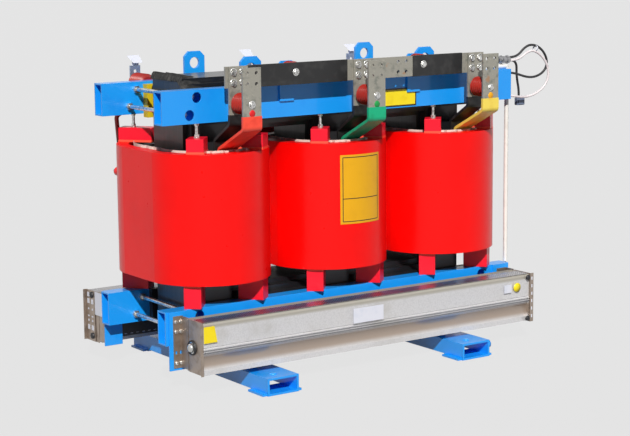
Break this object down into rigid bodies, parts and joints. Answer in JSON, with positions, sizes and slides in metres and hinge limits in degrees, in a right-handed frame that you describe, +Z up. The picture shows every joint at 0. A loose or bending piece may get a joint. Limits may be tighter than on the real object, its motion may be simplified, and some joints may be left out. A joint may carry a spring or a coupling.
{
  "type": "dry type transformer",
  "caption": "Dry type transformer: red cast-resin coils on a stacked core in blue clamps, with flat low-voltage bars, ribbed post insulators and cross-flow fans along the base.",
  "frame": {"origin": "middle of the core's footprint, on the plane the foot plates stand on", "axes": "+X along the three limbs towards the end with the wiring, -Y towards the low-voltage side, +Z up"},
  "size_m": [1.9055, 1.026, 1.243],
  "materials": {
    "core_steel": "black insulating varnish",
    "lv_resin": "resin and glass tape",
    "coil_red": "glossy cast resin",
    "tinned_copper": "tinned, mottled",
    "sleeve_orange": "shrink sleeve",
    "sleeve_green": "shrink sleeve",
    "sleeve_yellow": "shrink sleeve",
    "sleeve_black": "shrink sleeve",
    "board_yellow": "pressed board",
    "clamp_blue": "gloss paint",
    "zinc_steel": "zinc plated",
    "spacer_white": "moulded",
    "block_crimson": "cast resin",
    "insulator_red": "cast resin",
    "terminal_brass": "plain",
    "lead_red": "insulated rod",
    "fan_sheet": "mill finish",
    "impeller_aluminium": "plain",
    "cap_chrome": "bright",
    "motor_black": "satin",
    "end_plate": "worn zinc",
    "conduit_white": "smooth",
    "gland_grey": "plain",
    "connector_grey": "moulded",
    "cable_black": "jacket",
    "cable_white": "jacket"
  },
  "bodies": {
    "transformer": {"busbar_bolts": "zinc_steel", "cable_black": "cable_black", "cable_conduit": "conduit_white", "cable_drop": "cable_black", "cable_fan": "cable_white", "cable_gland": "gland_grey", "cable_white": "cable_white", "core_limb_centre": "core_steel", "core_limb_left": "core_steel", "core_limb_right": "core_steel", "core_yoke_lower": "core_steel", "core_yoke_upper": "core_steel", "delta_links": "lead_red", "drop_connector": "connector_grey", "duct_spacers": "spacer_white", "fan_bearings": "cap_chrome", "fan_hangers": "clamp_blue", "fan_housing_front": "fan_sheet", "fan_housing_rear": "fan_sheet", "fan_motors": "motor_black", "fan_straps": "end_plate", "hv_coil_centre": "coil_red", "hv_coil_left": "coil_red", "hv_coil_right": "coil_red", "hv_insulators": "insulator_red", "hv_leads": "lead_red", "hv_terminals": "terminal_brass", "jack_bolts": "zinc_steel", "lifting_lugs": "clamp_blue", "lower_blocks": "block_crimson", "lower_clamp_front": "clamp_blue", "lower_clamp_rear": "clamp_blue", "lv_winding_centre": "lv_resin", "lv_winding_left": "lv_resin", "lv_winding_right": "lv_resin", "neutral_brackets": "clamp_blue", "neutral_busbar": "tinned_copper", "neutral_insulators": "insulator_red", "neutral_lead_centre": "tinned_copper", "neutral_lead_left": "tinned_copper", "neutral_lead_right": "tinned_copper", "neutral_sleeves": "sleeve_black", "phase_bar_centre": "tinned_copper", "phase_bar_left": "tinned_copper", "phase_bar_right": "tinned_copper", "phase_insulators": "insulator_red", "phase_sleeve_centre": "sleeve_green", "phase_sleeve_left": "sleeve_orange", "phase_sleeve_right": "sleeve_yellow", "rail_left": "clamp_blue", "rail_right": "clamp_blue", "tie_bolts_lower": "zinc_steel", "tie_bolts_upper": "zinc_steel", "upper_blocks": "block_crimson", "upper_clamp_front": "clamp_blue", "upper_clamp_rear": "clamp_blue", "yoke_boards": "board_yellow", "yoke_pads": "board_yellow"},
    "fan_rotor_front": {"fan_impeller_front": "impeller_aluminium"},
    "fan_rotor_rear": {"fan_impeller_rear": "impeller_aluminium"}
  },
  "joints": [
    {"name": "fan_spin_front", "type": "hinge", "parent": "transformer", "child": "fan_rotor_front", "pos_m": [0, -0.342, 0.186], "axis": [1, 0, 0], "continuous": true},
    {"name": "fan_spin_rear", "type": "hinge", "parent": "transformer", "child": "fan_rotor_rear", "pos_m": [0, 0.342, 0.186], "axis": [1, 0, 0], "continuous": true}
  ]
}
